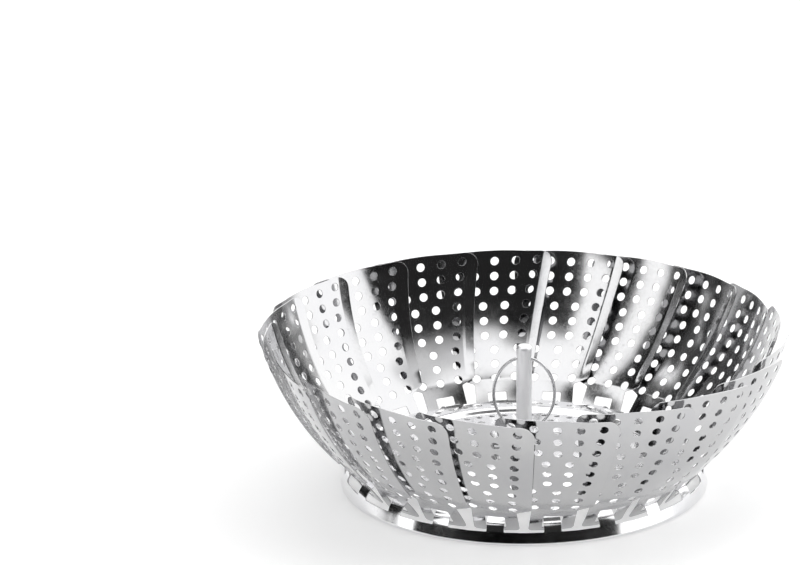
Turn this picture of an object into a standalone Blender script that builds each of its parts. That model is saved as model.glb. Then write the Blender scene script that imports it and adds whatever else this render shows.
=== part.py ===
"""A folding steamer basket of thin stainless sheet.

+Z is up, the skirt of the base plate stands on z = 0 and the centre post is on the Z axis. Sizes are in metres, written
as a number of millimetres times MM. Twenty petals are hinged on straps at the rim of the base plate. They are made
half open, as the basket stands on a table, with the three legs folded flat under the plate.
"""

import math

import bmesh
import bpy
from mathutils import Matrix, Vector
from mathutils.geometry import delaunay_2d_cdt

for old in list(bpy.data.objects):
    bpy.data.objects.remove(old, do_unlink=True)

MM = 0.001
TAU = 2.0 * math.pi

# driving dimensions, in millimetres and degrees
PETALS = 20
FIRST_AZIMUTH = -98.9  # of petal 1, near the front
LEG_AZIMUTHS = (90.0, 210.0, 330.0)

PLATE_SHEET = 0.5
PETAL_SHEET = 0.4
# how much further than the others each petal has opened, in degrees; the ones near the front hang lower
OPENING = (2.5, 1.9, 1.3, 0.7, 0.2, 0, 0, 0, 0, 0, 0, 0, 0, 0, 0, 0, 0.5, 1.0, 1.5, 2.0)
HINGE_AXIS = (0.0044, 1.0, 0.151)  # in the petal's frame: nearly level, and opens the petal

# a petal in its own frame: x away from the post, y anticlockwise, z up, the hinge point at the origin
HINGE_R, HINGE_Z = 64.5, 4.9
FOOT_ANGLE, FOOT_LENGTH, FOOT_HALF = 54.0, 13.7, 8.5
BODY_ANGLE, BODY_LENGTH = 47.2, 52.6
BODY_BEND, DISH_BEND = 120.0, 101.4  # radii along and across the petal
ROLL_FOOT = 4.4  # the anticlockwise edge lies outside the next petal
ROLL_TOP = 3.0
TWIST = 2.2  # the body leans clockwise about the post
CURL = 8.0  # of the clockwise margin, beyond the holes
CURL_FOOT, CURL_TOP = 11.0, 19.4
SHOULDER_HALF, TOP_HALF = 14.3, 24.0
CORNER, CROWN = 9.0, 0.9
SLOT_HALF, SLOT_LOW, SLOT_HIGH = 3.8, 0.9, 9.8

# the strap of each petal is a quarter arch from the plate's rim down to the skirt
STRAP_HALF = 3.2
ARCH_R, ARCH_Z, ARCH_BEND = 61.05, 2.77, 7.98
SKIRT_R, HEM_R = 69.84, 67.3
DRAIN_OUTER, DRAIN_INNER, DRAIN_HOLE = 57.3, 38.0, 1.4

POST_R, POST_TOP, EYE_Z, EYE_R = 3.0, 55.0, 50.0, 1.5
STUD_R, STUD_HOLE = 2.0, 2.3
RING_HALF_WIDTH, RING_HALF_HEIGHT, WIRE_R = 11.65, 15.4, 0.6
RING_PIVOT_Z, RING_TILT = 49.9, 8.0

LEG_LENGTH, LEG_HALF, LEG_SHEET = 32.0, 4.0, 0.9
LEG_PIVOT_R, LEG_PIVOT_Z, EYE_OUTER = 47.0, 5.2, 2.0
PIN_R, PIN_HOLE = 0.9, 1.2
RIVET_AT_R, RIVET_R, RIVET_HOLE = 42.5, 1.2, 1.5

PITCH = TAU / PETALS
FIRST = math.radians(FIRST_AZIMUTH)

basket = bpy.data.objects.new("basket", None)
bpy.context.scene.collection.objects.link(basket)


# ---------------------------------------------------------------- helpers


def steel(name, colour, roughness):
    m = bpy.data.materials.new(name)
    m.use_nodes = True
    b = m.node_tree.nodes["Principled BSDF"]
    b.inputs["Base Color"].default_value = (*colour, 1.0)
    b.inputs["Metallic"].default_value = 1.0
    b.inputs["Roughness"].default_value = roughness
    return m


def place(name, data, colour=(0.70, 0.70, 0.72), roughness=0.15, location=(0, 0, 0), azimuth=0.0, tilt=0.0):
    """An object of its own with its own material. azimuth turns it about Z and tilt about X."""
    obj = bpy.data.objects.new(name, data)
    bpy.context.scene.collection.objects.link(obj)
    obj.parent = basket
    obj.location = Vector(location) * MM
    obj.rotation_euler = (tilt, 0.0, azimuth)
    if not data.materials:
        data.materials.append(None)
    obj.material_slots[0].link = "OBJECT"
    obj.material_slots[0].material = steel(name + "_steel", colour, roughness)
    return obj


def finish(bm, name, smooth=True):
    bmesh.ops.recalc_face_normals(bm, faces=bm.faces)
    mesh = bpy.data.meshes.new(name)
    bm.to_mesh(mesh)
    bm.free()
    if smooth:
        mesh.shade_smooth()
        mesh.set_sharp_from_angle(angle=math.radians(35))
    return mesh


def lathe(name, profile, steps, closed=False):
    """A profile of (radius, height) turned about the local Z axis."""
    bm = bmesh.new()
    verts = [bm.verts.new((r * MM, 0, z * MM)) for r, z in profile]
    edges = [bm.edges.new(pair) for pair in zip(verts, verts[1:])]
    if closed:
        edges.append(bm.edges.new((verts[-1], verts[0])))
    bmesh.ops.spin(bm, geom=verts + edges, cent=(0, 0, 0), axis=(0, 0, 1), angle=TAU, steps=steps, use_merge=True)
    bmesh.ops.remove_doubles(bm, verts=bm.verts, dist=1e-6)
    return finish(bm, name)


def extruded(name, outline, direction, smooth=True):
    """A flat outline of points, extruded along a direction."""
    bm = bmesh.new()
    face = bm.faces.new([bm.verts.new(Vector(p) * MM) for p in outline])
    moved = bmesh.ops.extrude_face_region(bm, geom=[face])["geom"]
    bmesh.ops.translate(bm, verts=[g for g in moved if isinstance(g, bmesh.types.BMVert)], vec=Vector(direction) * MM)
    return finish(bm, name, smooth)


def rod(name, radius, length, steps):
    return lathe(name, [(0, -length / 2), (radius, -length / 2), (radius, length / 2), (0, length / 2)], steps)


def drill(obj, mesh, location, azimuth=0.0, tilt=0.0, lean=0.0):
    """Cuts a rod out of an object. The rod stays as a hidden guide."""
    tool = bpy.data.objects.new(mesh.name, mesh)
    bpy.context.scene.collection.objects.link(tool)
    tool.parent = basket
    tool.location = Vector(location) * MM
    tool.rotation_euler = (tilt, lean, azimuth)
    tool.hide_render = True
    tool.display_type = "WIRE"
    m = obj.modifiers.new("drill", "BOOLEAN")
    m.operation, m.solver, m.object = "DIFFERENCE", "EXACT", tool


def thicken(obj, sheet):
    m = obj.modifiers.new("sheet", "SOLIDIFY")
    m.thickness, m.offset, m.use_even_offset = sheet * MM, 0.0, True


def inside(p, loop):
    x, y = p
    hit = False
    for (x0, y0), (x1, y1) in zip(loop, loop[1:] + loop[:1]):
        if (y0 > y) != (y1 > y) and x < (x1 - x0) * (y - y0) / (y1 - y0) + x0:
            hit = not hit
    return hit


def fill(outline, holes, lines=(), points=()):
    """Triangles, anticlockwise, that fill a flat outline, keep to the lines and leave the holes open."""
    verts, edges = [], []
    for loop in [outline, *holes]:
        n = len(verts)
        verts += loop
        edges += [(n + i, n + (i + 1) % len(loop)) for i in range(len(loop))]
    for line in lines:
        n = len(verts)
        verts += line
        edges += [(n + i, n + i + 1) for i in range(len(line) - 1)]
    verts += list(points)
    v, _, found, *_ = delaunay_2d_cdt([Vector(p) for p in verts], edges, [], 0, 1e-4)
    kept = []
    for t in found:
        a, b, d = (v[i] for i in t)
        turn = (b - a).cross(d - a)
        c = (a + b + d) / 3
        # three points along one straight edge make no triangle
        if abs(turn) < 1e-3 or not inside(c, outline) or any(inside(c, h) for h in holes):
            continue
        kept.append(tuple(t) if turn > 0 else tuple(reversed(t)))
    used = sorted({i for t in kept for i in t})
    number = {old: new for new, old in enumerate(used)}
    return [(v[i].x, v[i].y) for i in used], [tuple(number[i] for i in t) for t in kept]


def sheet_mesh(name, points, faces):
    mesh = bpy.data.meshes.new(name)
    mesh.from_pydata([Vector(p) * MM for p in points], [], faces)
    mesh.shade_smooth()
    mesh.set_sharp_from_angle(angle=math.radians(35))
    return mesh


# ---------------------------------------------------------------- base plate

# Plate, straps and skirt are one pressing: one profile turned about Z, with windows and holes. It is laid out flat as
# a disc, with the distance along the profile as the radius, filled with triangles there, and bent into shape.
profile = [(STUD_HOLE, 11.15), (6.5, 11.15), (8.5, 10.15), (31.0, 10.15), (33.0, 8.95), (51.4, 8.95), (53.6, 10.75)]
RIM = len(profile)
for i in range(6):
    lean = math.radians(90 - 15 * i)
    profile.append((ARCH_R + ARCH_BEND * math.cos(lean), ARCH_Z + ARCH_BEND * math.sin(lean)))
SKIRT_TOP = len(profile) - 1
profile += [(SKIRT_R, PLATE_SHEET / 2), (HEM_R, PLATE_SHEET / 2)]

reach = [profile[0][0]]
for (r0, z0), (r1, z1) in zip(profile, profile[1:]):
    reach.append(reach[-1] + math.hypot(r1 - r0, z1 - z0))


def bend(x, y):
    """From the flat disc to the pressed plate."""
    s, a = math.hypot(x, y), math.atan2(y, x)
    i = max([j for j in range(len(reach) - 1) if reach[j] < s + 1e-6] or [0])
    f = (s - reach[i]) / (reach[i + 1] - reach[i])
    r = profile[i][0] + (profile[i + 1][0] - profile[i][0]) * f
    return (r * math.cos(a), r * math.sin(a), profile[i][1] + (profile[i + 1][1] - profile[i][1]) * f)


def polar(s, a):
    return (s * math.cos(a), s * math.sin(a))


def circle(s, count):
    return [polar(s, FIRST + TAU * i / count) for i in range(count)]


def plate_hole(r, a, radius, count):
    i = max(j for j in range(RIM) if profile[j][0] <= r)
    x, y = polar(reach[i] + r - profile[i][0], a)
    return [(x + radius * math.cos(a + TAU * k / count), y + radius * math.sin(a + TAU * k / count)) for k in range(count)]


def spread(row, a, parts):
    """The angles between two straps at one row of the profile, both straps' edges left out."""
    half = math.asin(STRAP_HALF / profile[row][0])
    return [a + half + (PITCH - 2 * half) * j / parts for j in range(1, parts)]


windows, across_straps, around = [], [], []
for k in range(PETALS):
    a0, a1 = FIRST + k * PITCH, FIRST + (k + 1) * PITCH
    half = {i: math.asin(STRAP_HALF / profile[i][0]) for i in range(RIM, SKIRT_TOP + 1)}
    loop = [polar(reach[i], a0 + half[i]) for i in half]
    loop += [polar(reach[SKIRT_TOP], a) for a in spread(SKIRT_TOP, a0, 3)]
    loop += [polar(reach[i], a1 - half[i]) for i in reversed(half)]
    loop += [polar(reach[RIM], a) for a in reversed(spread(RIM, a0, 3))]
    windows.append(loop)
    for i in (RIM, SKIRT_TOP):
        across_straps.append([polar(reach[i], a0 - half[i]), polar(reach[i], a0 + half[i])])
    around += [a0 - half[SKIRT_TOP], a0 + half[SKIRT_TOP], *spread(SKIRT_TOP, a0, 3)]

drains = [plate_hole(DRAIN_OUTER, FIRST + (k + 0.5) * PITCH, DRAIN_HOLE, 6) for k in range(PETALS)]
drains += [plate_hole(DRAIN_INNER, FIRST + k * PITCH, DRAIN_HOLE, 6) for k in range(PETALS)]
drains += [plate_hole(RIVET_AT_R, math.radians(a), RIVET_HOLE, 10) for a in LEG_AZIMUTHS]
creases = [circle(reach[1], 20), circle(reach[2], 20), circle(reach[3], 40), circle(reach[4], 40)]
creases += [circle(reach[5], 60), circle(reach[6], 60), [polar(reach[SKIRT_TOP + 1], a) for a in around]]
hem = [polar(reach[-1], a) for a in around]
flat, faces = fill(hem, [circle(reach[0], 20), *windows, *drains], across_straps + [c + c[:1] for c in creases])
plate = place("base_plate", sheet_mesh("base_plate", [bend(x, y) for x, y in flat], faces), (0.72, 0.72, 0.74), 0.12)
thicken(plate, PLATE_SHEET)


# ---------------------------------------------------------------- petals


def petal_point(u, v):
    """The middle of a petal's sheet: u runs from the hinge to the tip, v across it, anticlockwise."""
    foot, body = math.radians(FOOT_ANGLE), math.radians(BODY_ANGLE)
    s = u - FOOT_LENGTH
    x, z = FOOT_LENGTH * math.cos(foot), FOOT_LENGTH * math.sin(foot)
    if s < 0:
        x, z, lean = x + s * math.cos(foot), z + s * math.sin(foot), foot
    else:
        lean = body + s / BODY_BEND
        x += BODY_BEND * (math.sin(lean) - math.sin(body))
        z -= BODY_BEND * (math.cos(lean) - math.cos(body))
    f = min(max((u - 2.0) / (FOOT_LENGTH - 2.0), 0.0), 1.0)
    roll = math.radians(ROLL_FOOT * f * f * (3 - 2 * f) + ROLL_TOP * max(s, 0.0) / BODY_LENGTH)
    y, w = DISH_BEND * math.sin(v / DISH_BEND), DISH_BEND * (math.cos(v / DISH_BEND) - 1)
    rise = min(max(s, 0.0) / 6.0, 1.0)
    margin = CURL_FOOT + (CURL_TOP - CURL_FOOT) * max(s, 0.0) / BODY_LENGTH
    w -= math.tan(math.radians(CURL)) * rise * max(-v - margin, 0.0)
    y, w = y * math.cos(roll) - w * math.sin(roll), y * math.sin(roll) + w * math.cos(roll)
    x, z = x + math.sin(lean) * w, z - math.cos(lean) * w
    turn = math.radians(TWIST) * max(s, 0.0) / BODY_LENGTH
    x, y = (HINGE_R + x) * math.cos(turn) + y * math.sin(turn) - HINGE_R, y * math.cos(turn) - (HINGE_R + x) * math.sin(turn)
    return (x, y, z)


def half_width(u):
    return SHOULDER_HALF + (TOP_HALF - SHOULDER_HALF) * (u - FOOT_LENGTH) / BODY_LENGTH


tip = FOOT_LENGTH + BODY_LENGTH
rows = [FOOT_LENGTH + BODY_LENGTH * i / 8 for i in range(8)]
right = [(-1.0, FOOT_HALF), (SLOT_HIGH, FOOT_HALF), (FOOT_LENGTH - 1.2, FOOT_HALF)]
right += [(u, half_width(u)) for u in rows[:7]]
corner = (tip - CORNER - CROWN, half_width(tip - CORNER - CROWN) - CORNER)
for i in range(4):
    right.append((corner[0] + CORNER * math.sin(0.42 * i), corner[1] + CORNER * math.cos(0.42 * i)))
top = [(tip - 0.9 * CROWN * (v / corner[1]) ** 2, v) for v in (7.5, 0.0, -7.5)]
slot = [(SLOT_LOW, -SLOT_HALF), (SLOT_HIGH, -SLOT_HALF), (SLOT_HIGH, SLOT_HALF), (SLOT_LOW, SLOT_HALF)]
crease = [(FOOT_LENGTH, SHOULDER_HALF * j / 3) for j in range(-3, 4)]
inner = [(u, half_width(u) * j / 3) for u in rows[1:] for j in range(-2, 3)]
flat, faces = fill(right + top + [(u, -v) for u, v in reversed(right)], [slot], [crease], inner)
petal = sheet_mesh("petal", [petal_point(u, v) for u, v in flat], [tuple(reversed(t)) for t in faces])

for k in range(PETALS):
    a = FIRST + k * PITCH
    at = (HINGE_R * math.cos(a), HINGE_R * math.sin(a), HINGE_Z)
    obj = place("petal_%02d" % (k + 1), petal, location=at)
    opened = Matrix.Rotation(math.radians(OPENING[k]), 3, HINGE_AXIS)
    obj.rotation_euler = (Matrix.Rotation(a, 3, "Z") @ opened).to_euler()
    thicken(obj, PETAL_SHEET)


# ---------------------------------------------------------------- centre post and lift ring

stud = [(0, 6.2), (STUD_R - 0.4, 6.2), (STUD_R, 6.6), (STUD_R, 11.7), (POST_R - 0.3, 11.7), (POST_R, 12.0)]
head = [(POST_R, POST_TOP - 1.4), (POST_R - 0.3, POST_TOP - 0.6), (POST_R - 1.1, POST_TOP - 0.1), (0, POST_TOP)]
post = place("centre_post", lathe("centre_post", stud + head, 24), (0.68, 0.68, 0.70), 0.12)
drill(post, rod("eye_drill", EYE_R, 12.0, 14), (0, 0, EYE_Z), lean=math.pi / 2)

place("post_washer", lathe("post_washer", [(STUD_HOLE, 9.8), (4.8, 9.8), (4.8, 10.6), (STUD_HOLE, 10.6)], 20, True))
hexagon = [(4.04 * math.cos(TAU * i / 6), 4.04 * math.sin(TAU * i / 6), 6.9) for i in range(6)]
nut = place("post_nut", extruded("post_nut", hexagon, (0, 0, 2.6), False), (0.60, 0.60, 0.62), 0.25)
drill(nut, rod("nut_drill", STUD_HOLE, 6.0, 18), (0, 0, 8.2))

wire = bpy.data.curves.new("lift_ring", "CURVE")
wire.dimensions = "3D"
wire.bevel_depth, wire.bevel_resolution = WIRE_R * MM, 2
spline = wire.splines.new("POLY")
spline.points.add(35)
for i, p in enumerate(spline.points):
    t = TAU * i / 36
    p.co = (RING_HALF_WIDTH * math.sin(t) * MM, 0.0, RING_HALF_HEIGHT * (math.cos(t) - 1.0) * MM, 1.0)
spline.use_cyclic_u = True
place("lift_ring", wire, (0.68, 0.68, 0.70), 0.12, (0, 0, RING_PIVOT_Z), tilt=math.radians(RING_TILT))


# ---------------------------------------------------------------- folding legs

# A leg in its own frame: x away from the post, the pin at the origin. It is folded inwards, with a rolled eye.
start = math.asin((LEG_SHEET - EYE_OUTER) / EYE_OUTER)
turns = [start + (1.5 * math.pi - start) * i / 14 for i in range(15)]
leg_side = [(-LEG_LENGTH, -LEG_HALF, -EYE_OUTER), (-LEG_LENGTH, -LEG_HALF, LEG_SHEET - EYE_OUTER)]
leg_side += [(-EYE_OUTER * math.cos(t), -LEG_HALF, EYE_OUTER * math.sin(t)) for t in turns]
leg_mesh = extruded("leg", leg_side, (0, 2 * LEG_HALF, 0))
# the bracket is a short channel with its ears down
channel = [(-5.4, 8.4), (-5.4, 3.2), (-4.6, 3.2), (-4.6, 7.6), (4.6, 7.6), (4.6, 3.2), (5.4, 3.2), (5.4, 8.4)]
bracket_mesh = extruded("leg_bracket", [(-7.0, y, z - LEG_PIVOT_Z) for y, z in channel], (9.6, 0, 0), False)
pin = [(0, -6.3), (1.5, -6.3), (1.5, -5.7), (PIN_R, -5.7), (PIN_R, 5.7), (1.5, 5.7), (1.5, 6.3), (0, 6.3)]
pin_mesh = lathe("leg_pin", pin, 12)
rivet = [(0, 6.5), (1.8, 6.5), (2.2, 6.8), (2.2, 7.3), (RIVET_R, 7.3), (RIVET_R, 9.2), (0, 9.2)]
rivet_mesh = lathe("leg_rivet", rivet, 12)
pin_drill, rivet_drill = rod("pin_drill", PIN_HOLE, 16.0, 12), rod("rivet_drill", RIVET_HOLE, 4.0, 12)

for k, degrees in enumerate(LEG_AZIMUTHS):
    a = math.radians(degrees)
    n = str(k + 1)
    at = (LEG_PIVOT_R * math.cos(a), LEG_PIVOT_R * math.sin(a), LEG_PIVOT_Z)
    riveted = (RIVET_AT_R * math.cos(a), RIVET_AT_R * math.sin(a))
    leg = place("leg_" + n, leg_mesh, (0.62, 0.62, 0.64), 0.25, at, a)
    bracket = place("leg_bracket_" + n, bracket_mesh, (0.62, 0.62, 0.64), 0.25, at, a)
    drill(leg, pin_drill, at, a, math.pi / 2)
    drill(bracket, pin_drill, at, a, math.pi / 2)
    drill(bracket, rivet_drill, (*riveted, 8.0), a)
    place("leg_pin_" + n, pin_mesh, (0.62, 0.62, 0.64), 0.2, at, a, math.pi / 2)
    place("leg_rivet_" + n, rivet_mesh, (0.62, 0.62, 0.64), 0.2, (*riveted, 0), a)
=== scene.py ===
"""The looks of a folding steamer basket: fine perforated sheet, bright polished steel, a plain studio.

Millimetres are written times MM. A petal's frame has its origin on its hinge, x away from the post, y anticlockwise.
"""

import math

import bmesh
import bpy
import numpy as np
from mathutils import Matrix, Vector
from mathutils.geometry import delaunay_2d_cdt


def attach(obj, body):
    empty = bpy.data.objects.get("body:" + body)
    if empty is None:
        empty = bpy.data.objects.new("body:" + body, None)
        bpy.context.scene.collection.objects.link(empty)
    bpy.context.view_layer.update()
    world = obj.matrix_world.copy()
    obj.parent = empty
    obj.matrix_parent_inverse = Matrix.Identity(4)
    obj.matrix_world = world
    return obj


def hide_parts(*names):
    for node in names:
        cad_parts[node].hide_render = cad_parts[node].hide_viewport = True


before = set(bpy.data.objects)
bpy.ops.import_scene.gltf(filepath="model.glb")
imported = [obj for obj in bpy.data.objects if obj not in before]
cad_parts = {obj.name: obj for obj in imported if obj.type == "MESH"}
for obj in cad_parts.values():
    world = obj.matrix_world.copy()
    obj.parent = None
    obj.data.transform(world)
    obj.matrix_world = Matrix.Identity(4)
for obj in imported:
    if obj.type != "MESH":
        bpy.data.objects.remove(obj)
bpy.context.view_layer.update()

MM = 0.001
TAU = 2.0 * math.pi
PETALS = 20
PITCH = TAU / PETALS
FIRST = math.radians(-98.9)
LEG_AZIMUTHS = [math.radians(a) for a in (90.0, 210.0, 330.0)]
scene = bpy.context.scene


# ---------------------------------------------------------------- materials


def nodes_of(name):
    m = bpy.data.materials.new(name)
    m.use_nodes = True
    t = m.node_tree
    return m, t, t.nodes["Principled BSDF"]


def math_node(t, op, a, b=0.0):
    n = t.nodes.new("ShaderNodeMath")
    n.operation = op
    for i, x in enumerate((a, b)):
        if isinstance(x, (int, float)):
            n.inputs[i].default_value = x
        else:
            t.links.new(x, n.inputs[i])
    return n.outputs[0]


def noise(t, vector, scale, detail=2.0, rough=0.5, w=0.0, vary=None):
    n = t.nodes.new("ShaderNodeTexNoise")
    n.noise_dimensions = "4D"
    t.links.new(vector, n.inputs["Vector"])
    n.inputs["Scale"].default_value = scale
    n.inputs["Detail"].default_value = detail
    n.inputs["Roughness"].default_value = rough
    n.inputs["W"].default_value = w
    if vary:
        t.links.new(math_node(t, "ADD", vary, w), n.inputs["W"])
    return n.outputs["Fac"]


def ramp(t, fac, low, high, a, b):
    """Maps fac from low..high to a..b, clamped."""
    n = t.nodes.new("ShaderNodeMapRange")
    t.links.new(fac, n.inputs["Value"])
    for key, x in zip(("From Min", "From Max", "To Min", "To Max"), (low, high, a, b)):
        n.inputs[key].default_value = x
    return n.outputs["Result"]


def polished(name, tone, rough, wave=1.0, grain=1.0, seed=0.0, lines=(1.0, 1.0, 1.0)):
    """Bright stainless sheet: slow waves of the pressing, fine rub marks along it, faint smears and water spots."""
    m, t, b = nodes_of(name)
    tex = t.nodes.new("ShaderNodeTexCoord").outputs["Object"]
    b.inputs["Metallic"].default_value = 1.0
    # the marks differ from one petal or leg to the next
    vary = math_node(t, "MULTIPLY", t.nodes.new("ShaderNodeObjectInfo").outputs["Random"], 60.0)
    smear = noise(t, tex, 55.0, 3.0, 0.55, seed, vary)
    spots = noise(t, tex, 420.0, 2.0, 0.5, seed + 3.0, vary)
    stretch = t.nodes.new("ShaderNodeVectorMath")
    stretch.operation = "MULTIPLY"
    t.links.new(tex, stretch.inputs[0])
    stretch.inputs[1].default_value = lines
    rub = noise(t, stretch.outputs[0], 900.0, 3.0, 0.6, seed + 5.0, vary)

    colour = t.nodes.new("ShaderNodeMix")
    colour.data_type = "RGBA"
    colour.inputs["A"].default_value = (tone * 0.965, tone * 0.965, tone * 0.985, 1.0)
    colour.inputs["B"].default_value = (tone * 1.03, tone * 1.03, tone * 1.035, 1.0)
    t.links.new(ramp(t, smear, 0.35, 0.65, 0.0, 1.0), colour.inputs["Factor"])
    t.links.new(colour.outputs["Result"], b.inputs["Base Color"])

    r = math_node(t, "ADD", ramp(t, smear, 0.3, 0.7, rough * 0.75, rough * 1.3), ramp(t, rub, 0.4, 0.75, 0.0, rough * 0.5 * grain))
    r = math_node(t, "ADD", r, ramp(t, spots, 0.62, 0.7, 0.0, rough * 0.5))
    t.links.new(r, b.inputs["Roughness"])

    slow = noise(t, tex, 38.0, 1.0, 0.4, seed + 9.0, vary)
    mid = noise(t, tex, 130.0, 1.0, 0.4, seed + 12.0, vary)
    height = math_node(t, "ADD", math_node(t, "MULTIPLY", slow, 0.35 * wave), math_node(t, "MULTIPLY", mid, 0.05 * wave))
    height = math_node(t, "ADD", height, math_node(t, "MULTIPLY", rub, 0.0012 * grain))
    bump = t.nodes.new("ShaderNodeBump")
    bump.inputs["Strength"].default_value = 1.0
    bump.inputs["Distance"].default_value = 1.0 * MM
    t.links.new(height, bump.inputs["Height"])
    t.links.new(bump.outputs["Normal"], b.inputs["Normal"])
    return m


PETAL_STEEL = polished("petal_steel", 0.53, 0.11, 1.0, 1.0, 1.3, (0.06, 1.0, 1.0))
PLATE_STEEL = polished("plate_steel", 0.80, 0.10, 0.8, 1.0, 4.1)
# the post's tone is painted far brighter than the other steel: painted lightness that stands in for light its
# reflections don't bring
POST_STEEL_PAINTED_BRIGHT = polished("post_steel", 0.97, 0.40, 0.25, 1.0, 7.7, (1.0, 1.0, 0.08))
WIRE_STEEL = polished("wire_steel", 0.62, 0.14, 0.1, 0.5, 9.2)
LEG_STEEL = polished("leg_steel", 0.60, 0.24, 0.5, 1.4, 11.9, (0.08, 1.0, 1.0))
HARDWARE = polished("hardware_steel", 0.55, 0.22, 0.2, 1.0, 14.4)


# ---------------------------------------------------------------- sheet metal


def rounded(loop, radii, steps=5):
    """A closed loop of points whose corners are rounded. radii is one number, or one for each point."""
    n = len(loop)
    radii = [radii] * n if isinstance(radii, (int, float)) else radii
    out = []
    for i in range(n):
        p, a, b = Vector(loop[i]), Vector(loop[i - 1]), Vector(loop[(i + 1) % n])
        if radii[i] <= 0:
            out.append(tuple(p))
            continue
        da, db = (a - p), (b - p)
        la, lb = da.length, db.length
        da, db = da / la, db / lb
        half = da.angle(db) / 2
        d = min(radii[i] / math.tan(half), la * 0.45, lb * 0.45)
        r = d * math.tan(half)
        c = p + (da + db).normalized() * (r / math.sin(half))
        s, e = p + da * d - c, p + db * d - c
        turn = s.angle_signed(e)
        for k in range(steps + 1):
            f = -turn * k / steps
            out.append((c.x + s.x * math.cos(f) - s.y * math.sin(f), c.y + s.x * math.sin(f) + s.y * math.cos(f)))
    return out


def dense(loop, step):
    """The loop with points added so that no edge is longer than step."""
    out = []
    for p, q in zip(loop, loop[1:] + loop[:1]):
        n = max(1, math.ceil(math.dist(p, q) / step))
        out += [(p[0] + (q[0] - p[0]) * i / n, p[1] + (q[1] - p[1]) * i / n) for i in range(n)]
    return out


def inside(x, y, loop):
    """Which of the points lie in the loop, as an array of booleans."""
    hit = np.zeros(len(x), bool)
    for (x0, y0), (x1, y1) in zip(loop, loop[1:] + loop[:1]):
        if y0 != y1:
            hit ^= ((y0 > y) != (y1 > y)) & (x < (x1 - x0) * (y - y0) / (y1 - y0) + x0)
    return hit


def circle(x, y, r, count, start=0.0):
    return [(x + r * math.cos(start + TAU * k / count), y + r * math.sin(start + TAU * k / count)) for k in range(count)]


def fill(outline, openings, rounds, count, creases, extra):
    """Triangles that fill a flat outline. rounds are round holes (x, y, r), and openings are other holes."""
    loops = [outline, *openings, *[circle(x, y, r, count, 0.13) for x, y, r in rounds]]
    verts, edges = [], []
    for loop in loops:
        n = len(verts)
        verts += loop
        edges += [(n + i, n + (i + 1) % len(loop)) for i in range(len(loop))]
    for line in creases:
        n = len(verts)
        verts += line
        edges += [(n + i, n + i + 1) for i in range(len(line) - 1)]
    ex = np.array(extra, float).reshape(-1, 2)
    keep = inside(ex[:, 0], ex[:, 1], outline)
    for loop in openings:
        keep &= ~inside(ex[:, 0], ex[:, 1], loop)
    if rounds:
        hx = np.array(rounds, float)
        d = np.sqrt(((ex[:, None, :] - hx[None, :, :2]) ** 2).sum(-1)) - hx[None, :, 2]
        keep &= d.min(1) > 0.35
    b = np.array(verts)
    near = np.zeros(len(ex), bool)
    for i in range(0, len(ex), 400):
        near[i : i + 400] = np.sqrt(((ex[i : i + 400, None, :] - b[None]) ** 2).sum(-1)).min(1) < 0.45
    verts = verts + [tuple(p) for p in ex[keep & ~near]]
    v, _, faces, *_ = delaunay_2d_cdt([Vector(p) for p in verts], edges, [], 0, 1e-5)
    v = np.array([(p.x, p.y) for p in v])
    f = np.array(faces)
    c = v[f].mean(1)
    keep = inside(c[:, 0], c[:, 1], outline)
    for loop in openings:
        keep &= ~inside(c[:, 0], c[:, 1], loop)
    for x, y, r in rounds:
        keep &= (c[:, 0] - x) ** 2 + (c[:, 1] - y) ** 2 > (r * 0.995) ** 2
    a, d = v[f[:, 1]] - v[f[:, 0]], v[f[:, 2]] - v[f[:, 0]]
    turn = a[:, 0] * d[:, 1] - a[:, 1] * d[:, 0]
    keep &= np.abs(turn) > 1e-5
    f = np.where((turn > 0)[:, None], f, f[:, ::-1])[keep]
    used, f = np.unique(f, return_inverse=True)
    return v[used], f.reshape(-1, 3)


def pressed(name, flat, faces, bend, thickness, side=1.0):
    """A sheet of this thickness. bend(x, y) gives points and unit normals in mm, and the faces turn anticlockwise about
    side times the normal. The cut edges are walls with a soft corner."""
    points, normals = bend(flat)
    n = len(flat)
    if side < 0:
        faces = faces[:, ::-1]
    half = thickness / 2
    edge = {}
    for t in faces:
        for i in range(3):
            edge[(t[i], t[(i + 1) % 3])] = True
    rim = [(a, b) for a, b in edge if (b, a) not in edge]
    nxt = {a: b for a, b in rim}
    prv = {b: a for a, b in rim}
    out = {}
    for a in nxt:
        # the direction out of the sheet at this point of its edge
        along = points[nxt[a]] - points[prv[a]]
        o = np.cross(along, normals[a] * side)
        out[a] = o / max(np.linalg.norm(o), 1e-9)
    soft = min(0.1, thickness * 0.25)
    top, low = points + normals * side * half, points - normals * side * half
    verts = [*top, *low]
    index = {}
    for a in nxt:
        index[a] = len(verts)
        # the two rows that make the corner soft, between the skins and the wall
        verts.append(top[a] - normals[a] * side * soft + out[a] * soft)
        verts.append(low[a] + normals[a] * side * soft + out[a] * soft)
    polys = [tuple(t) for t in faces] + [tuple(i + n for i in t[::-1]) for t in faces]
    smooth = [tuple(normals[i] * side for i in t) for t in faces] + [tuple(-normals[i] * side for i in t[::-1]) for t in faces]
    for a, b in rim:
        ia, ib = index[a], index[b]
        na, nb = normals[a] * side, normals[b] * side
        polys += [(b, a, ia, ib), (ib, ia, ia + 1, ib + 1), (ib + 1, ia + 1, a + n, b + n)]
        smooth += [(nb, na, out[a], out[b]), (out[b], out[a], out[a], out[b]), (out[b], out[a], -na, -nb)]
    mesh = bpy.data.meshes.new(name)
    mesh.from_pydata([Vector(v) * MM for v in verts], [], polys)
    mesh.polygons.foreach_set("use_smooth", np.ones(len(polys), bool))
    mesh.normals_split_custom_set([Vector(x) for corner in smooth for x in corner])
    mesh.update()
    return mesh


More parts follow.
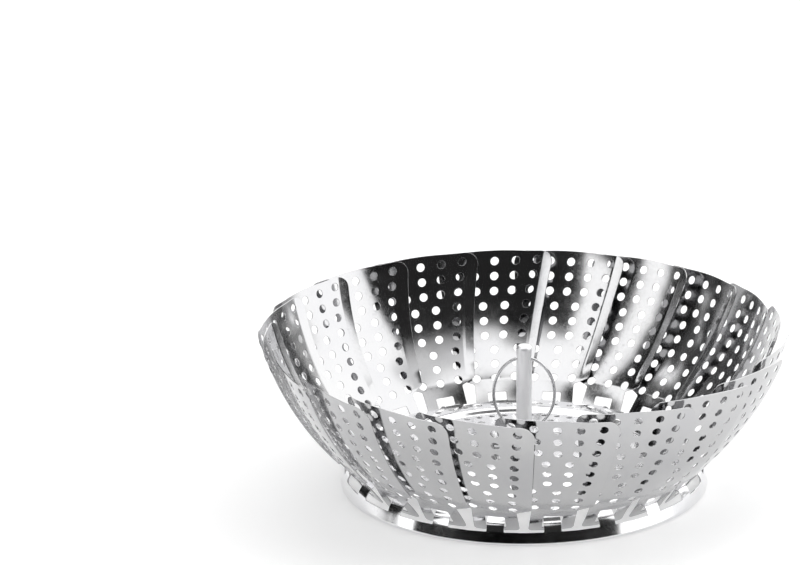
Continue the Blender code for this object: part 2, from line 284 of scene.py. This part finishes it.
def piece(name, mesh, material, body, nodes=(), matrix=None):
    obj = bpy.data.objects.new(name, mesh)
    scene.collection.objects.link(obj)
    if matrix is not None:
        obj.matrix_world = matrix
    if not obj.material_slots:
        mesh.materials.append(None)
    obj.material_slots[0].link = "OBJECT"
    obj.material_slots[0].material = material
    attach(obj, body)
    if nodes:
        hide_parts(*nodes)
    return obj


# ---------------------------------------------------------------- petals

PETAL_SHEET = 0.4
HINGE_R, HINGE_Z = 64.5, 4.9
FOOT_ANGLE, FOOT_LENGTH, FOOT_HALF = math.radians(54.0), 13.7, 8.5
BODY_ANGLE, BODY_LENGTH = math.radians(47.2), 52.6
BODY_BEND, DISH_BEND = 120.0, 101.4
ROLL_FOOT, ROLL_TOP = math.radians(4.4), math.radians(3.0)
TWIST, CURL = math.radians(2.2), math.radians(10.5)
CURL_FOOT, CURL_TOP = 11.0, 19.4
SHOULDER_HALF, TOP_HALF = 14.3, 24.0
CORNER, CROWN = 9.0, 0.9
# how much further than the others each petal has opened, in degrees, about an axis in the petal's frame
OPENING = (2.5, 1.9, 1.3, 0.7, 0.2, 0, 0, 0, 0, 0, 0, 0, 0, 0, 0, 0, 0.5, 1.0, 1.5, 2.0)
HINGE_AXIS = (0.0044, 1.0, 0.151)
TIP = FOOT_LENGTH + BODY_LENGTH


def petal_middle(u, v):
    """The middle of a petal's sheet, as the frame part has it. u and v are arrays."""
    s = u - FOOT_LENGTH
    # the crease between foot and body is a short bend
    soft = 1.2
    blend = np.clip((s + soft) / (2 * soft), 0, 1)
    x = FOOT_LENGTH * math.cos(FOOT_ANGLE)
    z = FOOT_LENGTH * math.sin(FOOT_ANGLE)
    body = BODY_ANGLE + s / BODY_BEND
    xb = x + BODY_BEND * (np.sin(body) - math.sin(BODY_ANGLE))
    zb = z - BODY_BEND * (np.cos(body) - math.cos(BODY_ANGLE))
    xf, zf = x + s * math.cos(FOOT_ANGLE), z + s * math.sin(FOOT_ANGLE)
    k = blend * blend * (3 - 2 * blend)
    px, pz = xf + (xb - xf) * k, zf + (zb - zf) * k
    lean = FOOT_ANGLE + (body - FOOT_ANGLE) * k
    f = np.clip((u - 2.0) / (FOOT_LENGTH - 2.0), 0.0, 1.0)
    rise = np.maximum(s, 0.0) / BODY_LENGTH
    roll = ROLL_FOOT * f * f * (3 - 2 * f) + ROLL_TOP * rise
    y, w = DISH_BEND * np.sin(v / DISH_BEND), DISH_BEND * (np.cos(v / DISH_BEND) - 1)
    # the clockwise margin, beyond the holes, curls inwards
    over = -v - CURL_FOOT - (CURL_TOP - CURL_FOOT) * rise
    over = np.where(over > 0.7, over, np.clip(over + 0.7, 0.0, None) ** 2 / 2.8)
    w = w - math.tan(CURL) * np.clip(s / 6.0, 0.0, 1.0) * over
    y, w = y * np.cos(roll) - w * np.sin(roll), y * np.sin(roll) + w * np.cos(roll)
    x, z = HINGE_R + px + np.sin(lean) * w, pz - np.cos(lean) * w
    # and the whole body leans clockwise about the post
    turn = TWIST * rise
    return np.stack([x * np.cos(turn) + y * np.sin(turn) - HINGE_R, y * np.cos(turn) - x * np.sin(turn), z], -1)


def petal_bend(flat):
    u, v = flat[:, 0], flat[:, 1]
    e = 0.05
    p = petal_middle(u, v)
    along = petal_middle(u + e, v) - petal_middle(u - e, v)
    across = petal_middle(u, v + e) - petal_middle(u, v - e)
    n = np.cross(along, across)
    return p, n / np.linalg.norm(n, axis=1, keepdims=True)


def half_width(u):
    return SHOULDER_HALF + (TOP_HALF - SHOULDER_HALF) * (u - FOOT_LENGTH) / BODY_LENGTH


# outline: round lugs at the foot, shoulders, straight sides, round top corners and a crowned top
right = [(-1.0, FOOT_HALF), (FOOT_LENGTH - 1.6, FOOT_HALF), (FOOT_LENGTH + 0.5, half_width(FOOT_LENGTH + 0.5))]
right += [(TIP - CROWN, half_width(TIP - CROWN))]
crowned = [(TIP - CROWN * (v / (TOP_HALF - CORNER)) ** 2 * 0.9, v) for v in (12.0, 10.0, 7.0, 3.5, 0.0, -3.5, -7.0, -10.0, -12.0)]
outline = right + crowned + [(u, -v) for u, v in reversed(right)]
radii = [1.4, 1.0, 1.6, CORNER] + [0] * len(crowned) + [CORNER, 1.6, 1.0, 1.4]
outline = dense(rounded(outline, radii, 8), 2.0)
slot = dense(rounded([(0.9, -3.8), (8.6, -3.8), (8.6, 3.8), (0.9, 3.8)], 0.7, 3), 2.0)

# rows of round holes: five, then four, then three to a row as the petal narrows
HOLE_R, ROW_PITCH, TOP_ROW = 1.75, 5.96, 4.2
rounds = []
for row in range(9):
    u = TIP - TOP_ROW - ROW_PITCH * row
    count = 5 - row // 3
    outer = (17.0, 15.6, 14.2, 13.0, 12.0, 11.0, 9.2, 8.4, 7.6)[row]
    rounds += [(u, outer * (1 - 2 * i / (count - 1)), HOLE_R) for i in range(count)]
steps_u, steps_v = np.arange(-0.2, TIP, 2.2), np.arange(-24.2, 24.3, 2.2)
extra = [(FOOT_LENGTH + d, j * 1.3) for d in (-1.2, -0.4, 0.4, 1.2) for j in range(-10, 11)]
for u in np.arange(FOOT_LENGTH, TIP, 1.6):
    bend_at = CURL_FOOT + (CURL_TOP - CURL_FOOT) * (u - FOOT_LENGTH) / BODY_LENGTH
    extra += [(u, -bend_at - d) for d in (-0.75, 0.0, 0.75)]
extra += [(u, v) for u in steps_u for v in steps_v if v > 0 or min(abs(u - e[0]) + abs(v - e[1]) for e in extra) > 1.4]
flat, faces = fill(outline, [slot], rounds, 18, [], extra)
petal_mesh = pressed("petal", flat, faces, petal_bend, PETAL_SHEET)
for k in range(PETALS):
    hinge = Matrix.Rotation(FIRST + k * PITCH, 4, "Z") @ Matrix.Translation((HINGE_R * MM, 0, HINGE_Z * MM))
    at = hinge @ Matrix.Rotation(math.radians(OPENING[k]), 4, HINGE_AXIS)
    name = "petal_%02d" % (k + 1)
    piece(name + "_sheet", petal_mesh, PETAL_STEEL, name, [name], at)


# ---------------------------------------------------------------- base plate

PLATE_SHEET = 0.5
ARCH_R, ARCH_Z, ARCH_BEND, STRAP_HALF = 61.05, 2.77, 7.98, 3.2
SKIRT_R, HEM_R = 69.84, 67.3

corners = [(2.3, 11.15, 0), (6.5, 11.15, 1.5), (8.5, 10.15, 1.5), (31.0, 10.15, 1.6), (33.0, 8.95, 1.6)]
corners += [(51.4, 8.95, 1.6), (53.6, 10.75, 1.6)]


def smooth_profile():
    """The plate's profile as a fine chain of (radius, height), with the row numbers where the straps start and end."""
    pts = [Vector(c[:2]) for c in corners] + [Vector((ARCH_R, ARCH_Z + ARCH_BEND))]
    out = [tuple(pts[0])]
    for i in range(1, len(corners)):
        p, a, b = pts[i], pts[i - 1], pts[i + 1]
        da, db = (a - p).normalized(), (b - p).normalized()
        half = da.angle(db) / 2
        d = min(corners[i][2] / math.tan(half), (a - p).length * 0.48, (b - p).length * 0.48)
        start, end = p + da * d, p + db * d
        for j in range(7):
            f = j / 6
            q = start * (1 - f) ** 2 + p * 2 * f * (1 - f) + end * f * f
            out.append(tuple(q))
    out.append((ARCH_R, ARCH_Z + ARCH_BEND))
    first = len(out) - 1
    for i in range(1, 16):
        lean = math.radians(90 - 75 * i / 15)
        out.append((ARCH_R + ARCH_BEND * math.cos(lean), ARCH_Z + ARCH_BEND * math.sin(lean)))
    last = len(out) - 1
    # the skirt leans out a little to its foot and turns in under itself
    out += [(69.1, 3.7), (69.44, 2.55), (69.78, 1.4), (70.02, 0.6), (70.02, 0.4), (69.8, 0.28), (69.3, 0.25), (68.2, 0.25), (HEM_R, 0.25)]
    return out, first, last


profile, ROW_A, ROW_B = smooth_profile()
profile = np.array(profile)
reach = np.concatenate([[profile[0][0]], profile[0][0] + np.cumsum(np.linalg.norm(np.diff(profile, axis=0), axis=1))])
tangents = np.gradient(profile, reach, axis=0)
tangents /= np.linalg.norm(tangents, axis=1, keepdims=True)


def plate_bend(flat):
    s = np.hypot(flat[:, 0], flat[:, 1])
    a = np.arctan2(flat[:, 1], flat[:, 0])
    r, z = np.interp(s, reach, profile[:, 0]), np.interp(s, reach, profile[:, 1])
    tr, tz = np.interp(s, reach, tangents[:, 0]), np.interp(s, reach, tangents[:, 1])
    ln = np.hypot(tr, tz)
    nr, nz = -tz / ln, tr / ln
    return (
        np.stack([r * np.cos(a), r * np.sin(a), z], -1),
        np.stack([nr * np.cos(a), nr * np.sin(a), nz], -1),
    )


def at_radius(r):
    """The distance along the profile of a radius on the plate."""
    return float(np.interp(r, profile[: ROW_A + 1, 0], reach[: ROW_A + 1]))


def polar(s, a):
    return (s * math.cos(a), s * math.sin(a))


openings = []
for k in range(PETALS):
    a0, a1 = FIRST + k * PITCH, FIRST + (k + 1) * PITCH
    side = [(reach[i], math.asin(STRAP_HALF / profile[i][0])) for i in range(ROW_A, ROW_B + 1)]
    loop = [polar(s, a0 + h) for s, h in side]
    h = side[-1][1]
    loop += [polar(side[-1][0], a0 + h + (PITCH - 2 * h) * j / 9) for j in range(1, 9)]
    loop += [polar(s, a1 - h) for s, h in reversed(side)]
    h = side[0][1]
    loop += [polar(side[0][0], a1 - h - (PITCH - 2 * h) * j / 9) for j in range(1, 9)]
    n = len(side)
    radii = [0.0] * len(loop)
    for i in (0, n - 1, n + 8, 2 * n + 7):
        radii[i] = 0.9
    openings.append(rounded(loop, radii, 4))

drains = []


def ring(r, count, radius, shift=0.5, skip=()):
    for i in range(count):
        a = FIRST + TAU * (i + shift) / count
        if all(abs((a - b + math.pi) % TAU - math.pi) * r > 5.6 for b in skip):
            x, y = polar(at_radius(r), a)
            drains.append((x, y, radius))


ring(57.4, 60, 1.3)
ring(49.3, 60, 1.3, 0.0)
ring(43.6, 40, 1.5, 0.5, LEG_AZIMUTHS)
ring(38.0, 40, 1.5, 0.0)
ring(28.0, 30, 1.3)
ring(21.5, 20, 1.5, 0.0)
ring(14.5, 13, 1.3)
for a in LEG_AZIMUTHS:
    drains.append((*polar(at_radius(42.5), a), 1.5))

hem = circle(0, 0, float(reach[-1]), 240, FIRST)
bore = circle(0, 0, float(reach[0]), 40, FIRST)
spread = []
for s in np.arange(reach[0] + 0.8, reach[ROW_A], 1.1):
    count = max(12, int(TAU * s / 2.0))
    spread += [polar(float(s), FIRST + TAU * i / count) for i in range(count)]
for i in range(ROW_A, ROW_B + 1):
    for k in range(PETALS):
        h = math.asin(STRAP_HALF / profile[i][0])
        spread += [polar(float(reach[i]), FIRST + k * PITCH + h * f) for f in (-0.66, -0.33, 0.0, 0.33, 0.66)]
for i in range(ROW_B + 1, len(profile) - 1):
    spread += [polar(float(reach[i]), FIRST + TAU * j / 240) for j in range(240)]
flat, faces = fill(hem, [bore, *openings], drains, 14, [], spread)
plate_mesh = pressed("base_plate_sheet", flat, faces, plate_bend, PLATE_SHEET)
piece("base_plate_sheet", plate_mesh, PLATE_STEEL, "base", ["base_plate"], None)


# ---------------------------------------------------------------- turned and cut pieces


def finish_mesh(bm, name, angle=40):
    bmesh.ops.recalc_face_normals(bm, faces=bm.faces)
    mesh = bpy.data.meshes.new(name)
    bm.to_mesh(mesh)
    bm.free()
    mesh.shade_smooth()
    mesh.set_sharp_from_angle(angle=math.radians(angle))
    return mesh


def lathe(name, profile, steps, closed=False, angle=40):
    bm = bmesh.new()
    verts = [bm.verts.new((r * MM, 0, z * MM)) for r, z in profile]
    edges = [bm.edges.new(pair) for pair in zip(verts, verts[1:])]
    if closed:
        edges.append(bm.edges.new((verts[-1], verts[0])))
    bmesh.ops.spin(bm, geom=verts + edges, cent=(0, 0, 0), axis=(0, 0, 1), angle=TAU, steps=steps, use_merge=True)
    bmesh.ops.remove_doubles(bm, verts=bm.verts, dist=1e-7)
    return finish_mesh(bm, name, angle)


def extruded(name, outline, direction, angle=40):
    bm = bmesh.new()
    face = bm.faces.new([bm.verts.new(Vector(p) * MM) for p in outline])
    moved = bmesh.ops.extrude_face_region(bm, geom=[face])["geom"]
    bmesh.ops.translate(bm, verts=[g for g in moved if isinstance(g, bmesh.types.BMVert)], vec=Vector(direction) * MM)
    return finish_mesh(bm, name, angle)


def cut_by(mesh, tools, name):
    """The mesh with the tools' meshes taken out of it. Each tool is (mesh, matrix)."""
    obj = bpy.data.objects.new("work", mesh)
    scene.collection.objects.link(obj)
    made = []
    for tool, matrix in tools:
        t = bpy.data.objects.new("tool", tool)
        scene.collection.objects.link(t)
        t.matrix_world = matrix
        m = obj.modifiers.new("cut", "BOOLEAN")
        m.operation, m.solver, m.object = "DIFFERENCE", "EXACT", t
        made.append(t)
    bpy.context.view_layer.update()
    out = bpy.data.meshes.new_from_object(obj.evaluated_get(bpy.context.evaluated_depsgraph_get()))
    out.name = name
    for o in [obj, *made]:
        bpy.data.objects.remove(o, do_unlink=True)
    out.shade_smooth()
    out.set_sharp_from_angle(angle=math.radians(35))
    return out


def soften(obj, width=0.12, segments=2, limit=35):
    m = obj.modifiers.new("soft", "BEVEL")
    m.width, m.segments, m.limit_method, m.angle_limit = width * MM, segments, "ANGLE", math.radians(limit)
    m.harden_normals = True
    return obj


# the post: threaded stud below, a plain rod with a domed end above, a cross hole near the top
stud = [(0.0, 6.2), (1.55, 6.2), (1.75, 6.5)]
z = 6.6
while z < 11.0:
    stud += [(2.0, z), (2.0, z + 0.12), (1.72, z + 0.3), (1.72, z + 0.38)]
    z += 0.5
stud += [(1.85, 11.4), (1.85, 11.7), (2.75, 11.7), (2.93, 11.77), (3.0, 11.95)]
head = [(3.0, 53.1)] + [(1.5 + 1.5 * math.cos(math.radians(a)), 53.5 + 1.5 * math.sin(math.radians(a))) for a in range(0, 91, 10)] + [(0.0, 55.0)]
rod = lathe("post_rod", stud + head, 72)
cross = lathe("cross_hole", [(0, -8), (1.5, -8), (1.5, 8), (0, 8)], 40)
rod = cut_by(rod, [(cross, Matrix.Translation((0, 0, 50 * MM)) @ Matrix.Rotation(math.pi / 2, 4, "Y"))], "centre_post_rod")
soften(piece("centre_post_rod", rod, POST_STEEL_PAINTED_BRIGHT, "base", ["centre_post"], None), 0.18, 3)

# the lift ring: one oval of round wire, whose ends meet in the cross hole
wire = bpy.data.curves.new("lift_ring_wire", "CURVE")
wire.dimensions = "3D"
wire.bevel_depth, wire.bevel_resolution, wire.use_fill_caps = 0.6 * MM, 6, True
spline = wire.splines.new("POLY")
spline.points.add(143)
for i, p in enumerate(spline.points):
    t = TAU * i / 144
    p.co = (11.65 * math.sin(t) * MM, 0.0, 15.4 * (math.cos(t) - 1.0) * MM, 1.0)
spline.use_cyclic_u = True
spline.use_smooth = True
hang = Matrix.Translation((0, 0, 49.9 * MM)) @ Matrix.Rotation(math.radians(8.0), 4, "X")
piece("lift_ring_wire", wire, WIRE_STEEL, "lift_ring", ["lift_ring"], hang)

# washer and nut
washer = [(2.3, 9.85), (2.35, 9.8), (4.6, 9.8), (4.8, 9.95), (4.8, 10.45), (4.6, 10.6), (2.35, 10.6), (2.3, 10.55)]
piece("post_washer_ring", lathe("post_washer_ring", washer, 48, True), HARDWARE, "base", ["post_washer"], None)
hexagon = [(4.04 * math.cos(TAU * i / 6), 4.04 * math.sin(TAU * i / 6), 6.9) for i in range(6)]
thread = [(0, 6.0), (2.5, 6.0), (2.5, 6.95), (2.3, 7.15)]
thread += [(2.3, 9.25), (2.5, 9.45), (2.5, 10.0), (0, 10.0)]
chamfer = [(3.45, 6.0), (6.0, 6.0), (6.0, 7.35), (4.08, 7.35), (3.45, 6.88)]
nut = cut_by(
    extruded("hex", hexagon, (0, 0, 2.6), 30),
    [(lathe("tap", thread, 40), Matrix.Identity(4)), (lathe("cone", chamfer, 64, True), Matrix.Identity(4))],
    "post_nut_hex",
)
soften(piece("post_nut_hex", nut, HARDWARE, "base", ["post_nut"], None), 0.08, 2)


# ---------------------------------------------------------------- folding legs

PIVOT_R, PIVOT_Z, EYE = 47.0, 5.2, 2.0
start = math.asin((0.9 - EYE) / EYE)
turns = [start + (1.5 * math.pi - start) * i / 40 for i in range(41)]
side = [(-32.0, -4.0, -EYE), (-32.0, -4.0, 0.9 - EYE)] + [(-EYE * math.cos(t), -4.0, EYE * math.sin(t)) for t in turns]
pin_drill = lathe("pin_drill", [(0, -9), (1.2, -9), (1.2, 9), (0, 9)], 32)
across = Matrix.Rotation(math.pi / 2, 4, "X")
leg = extruded("leg", side, (0, 8.0, 0), 30)
# round the toe, and press a long groove into the underside
toe = []
for s_ in (1, -1):
    loop = [(-34.0, 6.0 * s_, -3.0), (-28.9, 6.0 * s_, -3.0), (-28.9, 4.0 * s_, -3.0)]
    loop += [(-29.0 - 3.0 * math.sin(math.radians(a)), s_ * (1.0 + 3.0 * math.cos(math.radians(a))), -3.0) for a in range(0, 91, 10)]
    loop += [(-34.0, 1.0 * s_, -3.0)]
    toe.append((extruded("toe", loop, (0, 0, 4.0), 30), Matrix.Identity(4)))
groove = bmesh.new()
bmesh.ops.create_uvsphere(groove, u_segments=32, v_segments=16, radius=1.0)
bmesh.ops.scale(groove, vec=(11.0 * MM, 1.7 * MM, 0.28 * MM), verts=groove.verts)
groove_mesh = finish_mesh(groove, "groove")
leg = cut_by(leg, [(pin_drill, across), *toe, (groove_mesh, Matrix.Translation((-17.0 * MM, 0, -2.0 * MM)))], "leg_strip")

channel = [(-5.4, 8.4), (-5.4, 3.2), (-4.6, 3.2), (-4.6, 7.6), (4.6, 7.6), (4.6, 3.2), (5.4, 3.2), (5.4, 8.4)]
flat_channel = rounded(channel, [1.1, 0.35, 0.35, 0.5, 0.5, 0.35, 0.35, 1.1], 5)
bracket = extruded("bracket", [(-7.0, y, z - PIVOT_Z) for y, z in flat_channel], (9.6, 0, 0), 30)
rivet_drill = lathe("rivet_drill", [(0, -3), (1.5, -3), (1.5, 3), (0, 3)], 32)
ears = []
for x0, sx in ((-7.0, 1), (2.6, -1)):
    # take the lower corners off the ears, in a round
    loop = [(x0 - sx * 1.0, -8.0, 3.0 - PIVOT_Z), (x0 + sx * 1.6, -8.0, 3.0 - PIVOT_Z)]
    loop += [(x0 + sx * (1.6 - 1.6 * math.sin(math.radians(a))), -8.0, 3.2 + 1.6 - 1.6 * math.cos(math.radians(a)) - PIVOT_Z) for a in range(0, 91, 10)]
    loop += [(x0 - sx * 1.0, -8.0, 4.8 - PIVOT_Z)]
    ears.append((extruded("ear", loop, (0, 16.0, 0), 30), Matrix.Identity(4)))
drill_at = Matrix.Translation(((42.5 - PIVOT_R) * MM, 0, (8.0 - PIVOT_Z) * MM))
bracket = cut_by(bracket, [(pin_drill, across), (rivet_drill, drill_at), *ears], "bracket")

pin = [(0, -6.3), (1.2, -6.3), (1.45, -6.2), (1.5, -6.0), (1.5, -5.7), (0.9, -5.7), (0.9, 5.7), (1.5, 5.7), (1.5, 6.0), (1.45, 6.2), (1.2, 6.3), (0, 6.3)]
pin_mesh = lathe("pin", pin, 32)
rivet = [(0, 6.5), (0.9, 6.53), (1.6, 6.65), (2.05, 6.9), (2.2, 7.15), (2.2, 7.3), (1.2, 7.3), (1.2, 9.1), (1.1, 9.2), (0, 9.2)]
rivet_mesh = lathe("rivet", rivet, 32)

for i, a in enumerate(LEG_AZIMUTHS):
    n = str(i + 1)
    spin = Matrix.Rotation(a, 4, "Z")
    at = spin @ Matrix.Translation((PIVOT_R * MM, 0, PIVOT_Z * MM))
    soften(piece("leg_strip_" + n, leg, LEG_STEEL, "leg_" + n, ["leg_" + n], at), 0.12, 2)
    soften(piece("leg_channel_" + n, bracket, LEG_STEEL, "base", ["leg_bracket_" + n], at), 0.1, 2)
    piece("leg_hinge_pin_" + n, pin_mesh, HARDWARE, "base", ["leg_pin_" + n], at @ across)
    piece("leg_rivet_head_" + n, rivet_mesh, HARDWARE, "base", ["leg_rivet_" + n], spin @ Matrix.Translation((42.5 * MM, 0, 0)))


# ---------------------------------------------------------------- studio



def ground(name, inner, outer, albedo, glow):
    """A ring or disc of paper on the ground."""
    n = 96
    points = [(r * math.cos(TAU * i / n), r * math.sin(TAU * i / n), 0.0) for r in (inner, outer) for i in range(n)]
    mesh = bpy.data.meshes.new(name)
    mesh.from_pydata(points, [], [(i, n + i, n + (i + 1) % n, (i + 1) % n) for i in range(n)])
    obj = bpy.data.objects.new(name, mesh)
    scene.collection.objects.link(obj)
    obj.location.z = -0.00005
    m, t, b = nodes_of(name + "_paper")
    b.inputs["Base Color"].default_value = (albedo, albedo, albedo, 1.0)
    b.inputs["Roughness"].default_value = 0.9
    b.inputs["Specular IOR Level"].default_value = 0.1
    b.inputs["Emission Color"].default_value = (1.0, 1.0, 1.0, 1.0)
    b.inputs["Emission Strength"].default_value = glow
    mesh.materials.append(m)


# one sheet of plain white paper on a light table
ground("floor", 0.0001, 8.0, 0.80, 0.34)

world = bpy.data.worlds.new("studio")
scene.world = world
world.use_nodes = True
wt = world.node_tree
bg = wt.nodes["Background"]
norm = wt.nodes.new("ShaderNodeVectorMath")
norm.operation = "NORMALIZE"
wt.links.new(wt.nodes.new("ShaderNodeTexCoord").outputs["Generated"], norm.inputs[0])
split = wt.nodes.new("ShaderNodeSeparateXYZ")
wt.links.new(norm.outputs[0], split.inputs[0])
# azimuth 0 is the side of the camera, 90 its right
azimuth = math_node(wt, "ARCTAN2", split.outputs["X"], math_node(wt, "MULTIPLY", split.outputs["Y"], -1.0))
elevation = math_node(wt, "ARCSINE", split.outputs["Z"])


def step(value, at, soft):
    """0 below an angle in degrees, 1 above it, with a soft edge."""
    n = wt.nodes.new("ShaderNodeMapRange")
    n.interpolation_type = "SMOOTHSTEP"
    wt.links.new(value, n.inputs["Value"])
    n.inputs["From Min"].default_value = math.radians(at - soft)
    n.inputs["From Max"].default_value = math.radians(at + soft)
    return n.outputs["Result"]


grain = noise(wt, norm.outputs[0], 11.0, 3.0, 0.6, 2.4)
speckle = ramp(wt, grain, 0.51, 0.58, 1.0, 0.0)


def flag(az0, az1, el0, el1, depth, soft, soft_top=None, speckled=False):
    """The part of the light that a dark flag in the studio leaves."""
    k = math_node(wt, "SUBTRACT", step(azimuth, az0, soft), step(azimuth, az1, soft))
    rise = math_node(wt, "SUBTRACT", step(elevation, el0, 2.0), step(elevation, el1, soft_top or soft))
    k = math_node(wt, "MULTIPLY", k, rise)
    if speckled:
        k = math_node(wt, "MULTIPLY", k, speckle)
    return math_node(wt, "SUBTRACT", 1.0, math_node(wt, "MULTIPLY", k, depth))


FLAGS = (
    # azimuths, elevations, depth, soft edges
    (-44, 63, 10, 45.5, 0.985, 1.3, 3.0),
    (-36, 50, 42, 50, 0.38, 4.0, 3.0),
    (22, 80, 43, 57, 0.40, 4.0, 3.0),
    (-20, -4, 40, 51, 0.75, 3.0, 3.0),
    (-60, 61, -40, 14.5, 0.985, 1.5),
    (-71, -61.5, 2, 57, 0.97, 1.0, 3.0),
    (-71, -57, 2, 22, 0.97, 1.0, 4.0),
    (-104, -85, 3, 62, 0.97, 1.5, 4.0),
    (-150, -84, 1, 60, 0.95, 3.0, 4.0, True),
    (-165, -109, -6, 13, 0.95, 2.5, 3.0),
    (-165, -115, 8, 38, 0.95, 2.5, 5.0),
    (106, 138, -5, 15, 0.70, 3.0, 4.0, True),
    (-30, 110, 66, 89, 0.92, 5.0, 1.0),
)
level = 1.8
value = None
for item in FLAGS:
    value = flag(*item) if value is None else math_node(wt, "MULTIPLY", value, flag(*item))
wt.links.new(math_node(wt, "MULTIPLY", value, level), bg.inputs["Strength"])
bg.inputs["Color"].default_value = (1.0, 1.0, 1.0, 1.0)

# camera at the photograph's angle
F, D = 5208.0, 2.0
pitch = math.radians(18.29)
cx, cy = 524.2, 480.5
cam = bpy.data.cameras.new("camera")
cam_obj = bpy.data.objects.new("camera", cam)
scene.collection.objects.link(cam_obj)
cam.sensor_width = 36.0
cam.lens = F * 36.0 / 800.0
cam.clip_start, cam.clip_end = 0.1, 50.0
# the picture is a cut from the left of a wider one
middle = 540.0
cam.shift_x = (400.0 - middle) / 800.0
ahead = Vector((0.0, math.cos(pitch), -math.sin(pitch)))
up = Vector((0.0, math.sin(pitch), math.cos(pitch)))
base = Vector((0, 0, 0))
x_c, y_c = (cx - middle) / F * D, -(cy - 282.5) / F * D
cam_obj.location = base - ahead * D - Vector((1, 0, 0)) * x_c - up * y_c
cam_obj.rotation_euler = (math.pi / 2 - pitch, 0.0, 0.0)
scene.camera = cam_obj

scene.view_settings.view_transform = "Standard"
scene.view_settings.look = "None"
